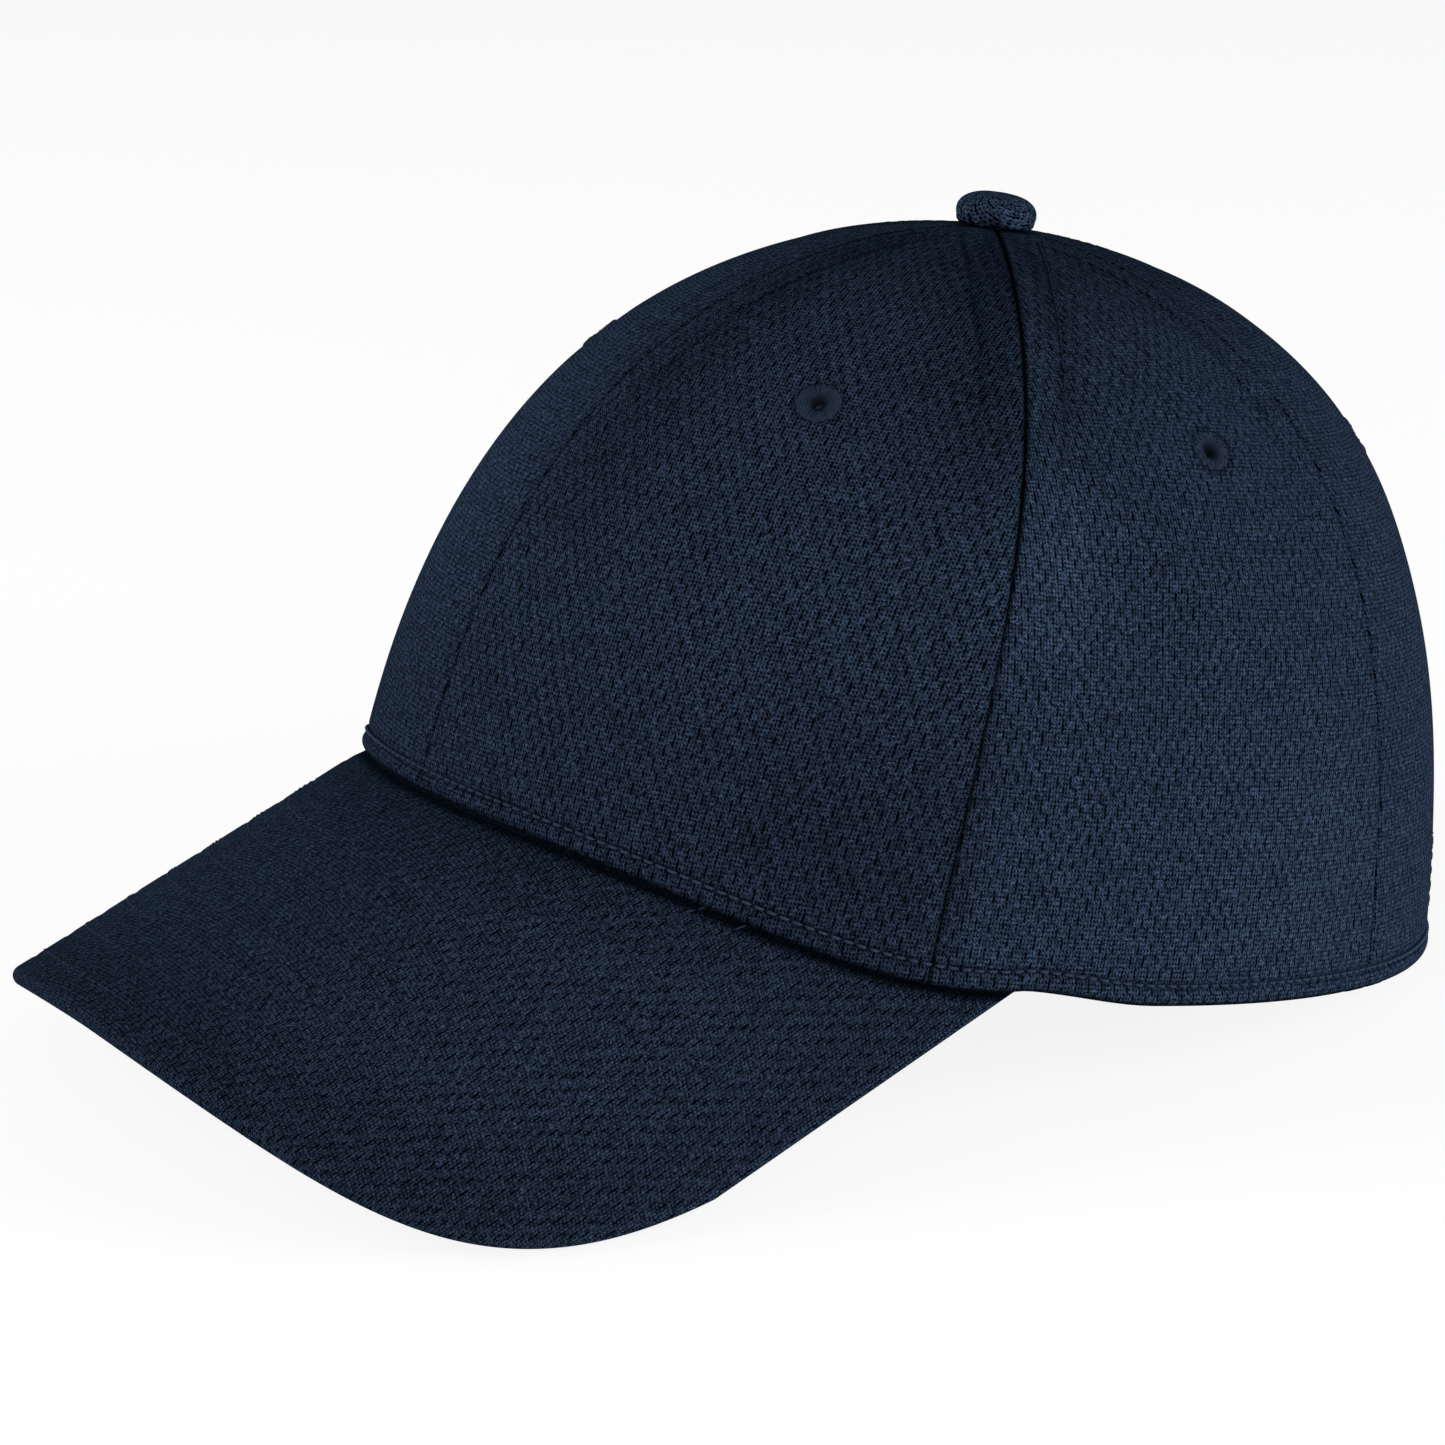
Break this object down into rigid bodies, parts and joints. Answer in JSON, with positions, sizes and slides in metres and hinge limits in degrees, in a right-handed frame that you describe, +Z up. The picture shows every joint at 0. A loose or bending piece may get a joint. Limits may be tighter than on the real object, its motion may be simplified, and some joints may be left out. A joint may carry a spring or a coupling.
{
  "type": "baseball cap",
  "caption": "Structured baseball cap of panels with a curved visor, covered top button, stitched eyelets and an adjustable hook-and-loop back strap.",
  "frame": {"origin": "middle of the cap's footprint on the surface it rests on", "axes": "+Z up, +Y towards the back of the cap, so the visor points to -Y, and +X to the wearer's left. The cap rests tipped back 12 degrees, on the visor's two low edges and the hem beside the back opening"},
  "size_m": [0.1774, 0.2606, 0.1383],
  "materials": {
    "mesh_knit": "satin moisture-wicking mesh knit",
    "visor_fabric": "the same knit, smooth over the board",
    "eyelet_thread": "satin embroidery thread",
    "seam_tape": "plain woven tape",
    "sweatband": "soft brushed jersey",
    "buckram": "stiffened open weave",
    "visor_board": "moulded polyethylene sheet",
    "button_metal": "plain stamped metal",
    "label": "blank woven satin",
    "strap_web": "self fabric, folded and stitched",
    "loop_pile": "brushed loop pile",
    "hook_pile": "stiff hook pile"
  },
  "bodies": {
    "crown": {"panel_front_left": "mesh_knit", "panel_side_left": "mesh_knit", "panel_rear_left": "mesh_knit", "panel_rear_right": "mesh_knit", "panel_side_right": "mesh_knit", "panel_front_right": "mesh_knit", "button_cover": "mesh_knit", "visor_top_cover": "visor_fabric", "visor_under_cover": "visor_fabric", "eyelet_front_left": "eyelet_thread", "eyelet_side_left": "eyelet_thread", "eyelet_rear_left": "eyelet_thread", "eyelet_rear_right": "eyelet_thread", "eyelet_side_right": "eyelet_thread", "eyelet_front_right": "eyelet_thread", "seam_tape_center_front": "seam_tape", "seam_tape_front_left": "seam_tape", "seam_tape_front_right": "seam_tape", "seam_tape_rear_left": "seam_tape", "seam_tape_rear_right": "seam_tape", "seam_tape_center_back": "seam_tape", "arch_binding": "seam_tape", "sweatband": "sweatband", "buckram_left": "buckram", "buckram_right": "buckram", "visor_board": "visor_board", "button_shell": "button_metal", "button_rivet": "button_metal", "button_backing": "button_metal", "care_label": "label", "hook_strap_root": "strap_web", "loop_strap_root": "strap_web"},
    "hook_tab": {"hook_strap": "strap_web", "hook_tape": "hook_pile"},
    "loop_tab": {"loop_strap": "strap_web", "loop_tape": "loop_pile"}
  },
  "joints": [
    {"name": "hook_strap_peel", "type": "hinge", "parent": "crown", "child": "hook_tab", "pos_m": [-0.02835, 0.12372, 0.01245], "axis": [0, 0, 1], "range_deg": [0, 110]},
    {"name": "loop_strap_flex", "type": "hinge", "parent": "crown", "child": "loop_tab", "pos_m": [0.03692, 0.11642, 0.01368], "axis": [0, 0, 1], "range_deg": [0, 35]}
  ]
}
